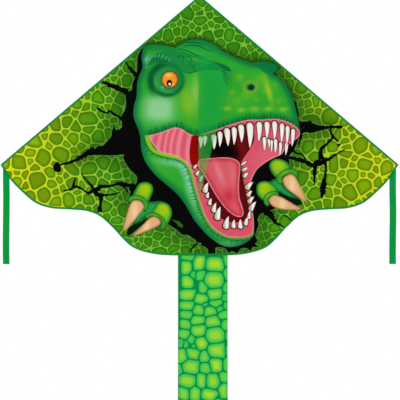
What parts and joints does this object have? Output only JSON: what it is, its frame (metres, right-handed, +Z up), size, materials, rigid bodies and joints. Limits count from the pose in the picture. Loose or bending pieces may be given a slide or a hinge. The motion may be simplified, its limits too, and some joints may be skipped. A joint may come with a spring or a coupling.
{
  "type": "delta kite",
  "caption": "Single-line delta kite with a fold-down keel, sleeved rods, a wide centre tail and two wing-tip ribbons; its wings fold back along the spine.",
  "frame": {"origin": "the nose: the top corner of the sail, in the sail's mid-plane", "axes": "+Z up along the spine towards the nose, +X towards the wing on the right when the printed side is seen, -Y out of the printed side"},
  "size_m": [1.198, 0.0125, 1.7852],
  "materials": {
    "sail_cloth": "thin printed polyester, green dinosaur print, satin",
    "edge_cloth": "green polyester hem tape, matte",
    "spine_cloth": "green polyester sleeve cloth, matte",
    "webbing": "dark green woven webbing, matte",
    "keel_cloth": "thin plain green polyester that the print shows through",
    "tail_cloth": "thin printed polyester, yellow-green scales",
    "ribbon_cloth": "plain green polyester ribbon",
    "glass_fibre": "pultruded glass-fibre rod, black, satin",
    "vinyl": "soft black vinyl",
    "moulded_plastic": "black moulded nylon",
    "eyelet_metal": "nickel-plated brass, polished"
  },
  "bodies": {
    "spine": {"centre_strip": "sail_cloth", "spine_rod": "glass_fibre", "spine_sleeve_upper": "spine_cloth", "spine_sleeve_lower": "spine_cloth", "nose_pocket": "webbing", "spine_end_pocket": "webbing", "spine_end_cap": "vinyl", "cross_tube": "vinyl", "keel_seam_tape": "edge_cloth"},
    "left_wing": {"left_sail": "sail_cloth", "left_trailing_hem": "edge_cloth", "left_leading_sleeve_upper": "edge_cloth", "left_leading_sleeve_lower": "edge_cloth", "left_leading_rod": "glass_fibre", "left_connector": "moulded_plastic", "left_spreader": "glass_fibre", "left_tip_cap": "vinyl", "left_tip_pocket": "webbing", "left_tip_patch": "webbing"},
    "right_wing": {"right_sail": "sail_cloth", "right_trailing_hem": "edge_cloth", "right_leading_sleeve_upper": "edge_cloth", "right_leading_sleeve_lower": "edge_cloth", "right_leading_rod": "glass_fibre", "right_connector": "moulded_plastic", "right_spreader": "glass_fibre", "right_tip_cap": "vinyl", "right_tip_pocket": "webbing", "right_tip_patch": "webbing"},
    "keel": {"keel_fin": "keel_cloth", "keel_patch_left": "webbing", "keel_patch_right": "webbing", "tow_eyelet": "eyelet_metal", "tow_eyelet_washer": "eyelet_metal"},
    "tail": {"centre_tail": "tail_cloth"},
    "left_streamer": {"left_ribbon": "ribbon_cloth"},
    "right_streamer": {"right_ribbon": "ribbon_cloth"}
  },
  "joints": [
    {"name": "left_wing_fold", "type": "hinge", "parent": "spine", "child": "left_wing", "pos_m": [-0.007, 0, 0], "axis": [0, 0, -1], "range_deg": [0, 85], "stiffness_Nm_per_rad": 0.15, "deforming": ["cross_tube"]},
    {"name": "right_wing_fold", "type": "hinge", "parent": "spine", "child": "right_wing", "pos_m": [0.007, 0, 0], "axis": [0, 0, 1], "range_deg": [0, 85], "stiffness_Nm_per_rad": 0.15, "deforming": ["cross_tube"]},
    {"name": "keel_swing", "type": "hinge", "parent": "spine", "child": "keel", "pos_m": [0, -0.0024, -0.39], "axis": [0, 0, -1], "range_deg": [0, 180]},
    {"name": "tail_swing", "type": "hinge", "parent": "spine", "child": "tail", "pos_m": [0.01, 0.0011, -0.7852], "axis": [-1, 0, 0], "range_deg": [-90, 90]},
    {"name": "left_ribbon_swing", "type": "hinge", "parent": "left_wing", "child": "left_streamer", "pos_m": [-0.583, 0.0018, -0.52], "axis": [-1, 0, 0], "range_deg": [-90, 0]},
    {"name": "right_ribbon_swing", "type": "hinge", "parent": "right_wing", "child": "right_streamer", "pos_m": [0.583, 0.0018, -0.52], "axis": [-1, 0, 0], "range_deg": [-90, 0]}
  ]
}
